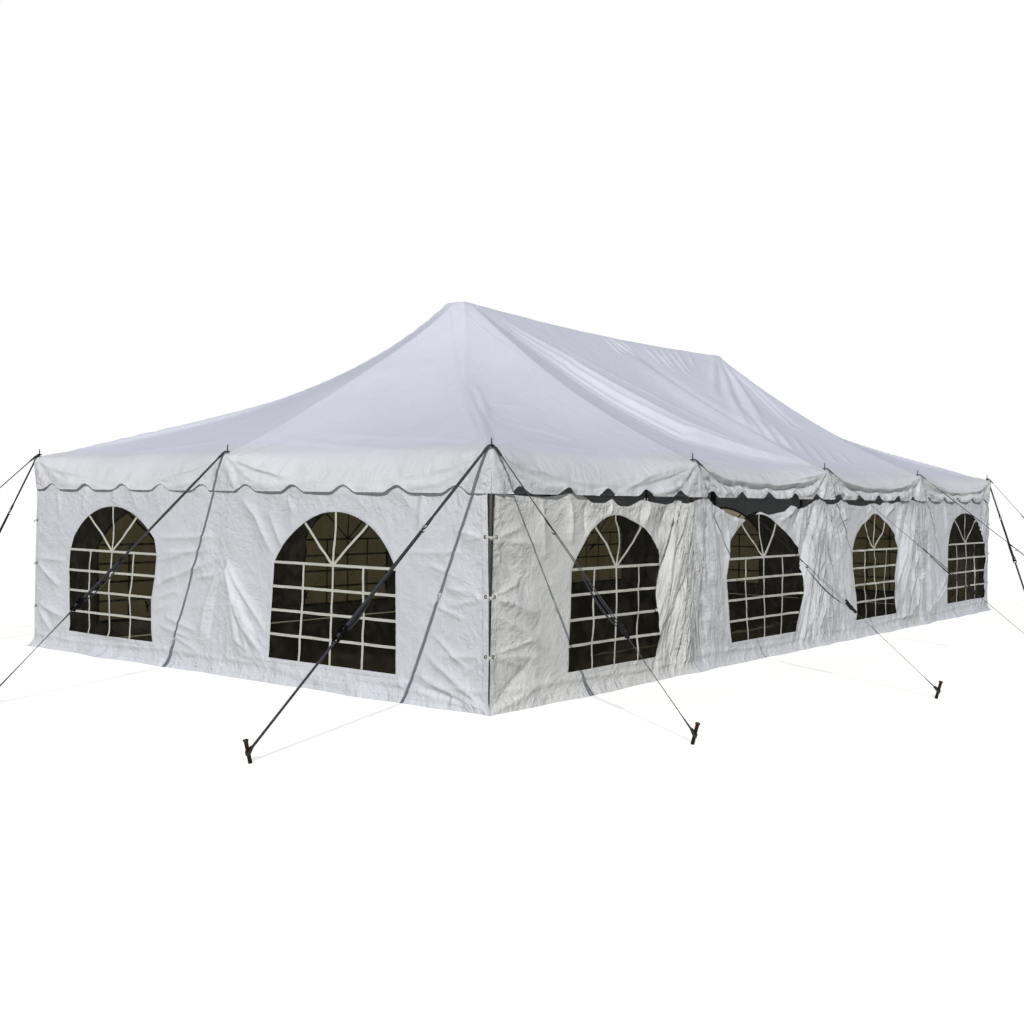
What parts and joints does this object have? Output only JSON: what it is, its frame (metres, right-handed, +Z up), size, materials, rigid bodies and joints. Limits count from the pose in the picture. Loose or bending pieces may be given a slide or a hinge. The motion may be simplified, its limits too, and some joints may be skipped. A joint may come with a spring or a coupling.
{
  "type": "marquee tent",
  "caption": "Peaked pole marquee with notched valance, arched clear windows in laced side walls, spiked side poles and webbing guys staked out all round.",
  "frame": {"origin": "middle of the plan, guys and stakes included, on the ground", "axes": "+X along the long side of the tent, +Y across it towards the back, +Z up"},
  "size_m": [16.8784, 11.3224, 3.775],
  "materials": {
    "roof_cloth": "white coated polyester, satin",
    "valance_cloth": "white coated polyester with a bound hem",
    "wall_cloth": "white coated polyester, creased",
    "clear_film": "clear flexible film",
    "pole_steel": "galvanised tube",
    "webbing": "woven polyester webbing"
  },
  "bodies": {
    "root": {"canopy": "roof_cloth", "centre_pole_left": "pole_steel", "centre_pole_right": "pole_steel", "guy_back_1": "webbing", "guy_back_2": "webbing", "guy_back_3": "webbing", "guy_back_corner_x": "webbing", "guy_back_corner_y": "webbing", "guy_front_1": "webbing", "guy_front_2": "webbing", "guy_front_3": "webbing", "guy_front_corner_x": "webbing", "guy_front_corner_y": "webbing", "guy_left_1": "webbing", "guy_left_corner_x": "webbing", "guy_left_corner_y": "webbing", "guy_right_1": "webbing", "guy_right_corner_x": "webbing", "guy_right_corner_y": "webbing", "side_pole_back_1": "pole_steel", "side_pole_back_2": "pole_steel", "side_pole_back_3": "pole_steel", "side_pole_back_corner": "pole_steel", "side_pole_front_1": "pole_steel", "side_pole_front_2": "pole_steel", "side_pole_front_3": "pole_steel", "side_pole_front_corner": "pole_steel", "side_pole_left_1": "pole_steel", "side_pole_left_corner": "pole_steel", "side_pole_right_1": "pole_steel", "side_pole_right_corner": "pole_steel", "valance": "valance_cloth", "wall_back_1": "wall_cloth", "wall_back_2": "wall_cloth", "wall_back_3": "wall_cloth", "wall_back_4": "wall_cloth", "wall_front_1": "wall_cloth", "wall_front_2": "wall_cloth", "wall_front_3": "wall_cloth", "wall_front_4": "wall_cloth", "wall_left_1": "wall_cloth", "wall_left_2": "wall_cloth", "wall_right_1": "wall_cloth", "wall_right_2": "wall_cloth", "window_film_back": "clear_film", "window_film_front": "clear_film", "window_film_left": "clear_film", "window_film_right": "clear_film"}
  },
  "joints": []
}
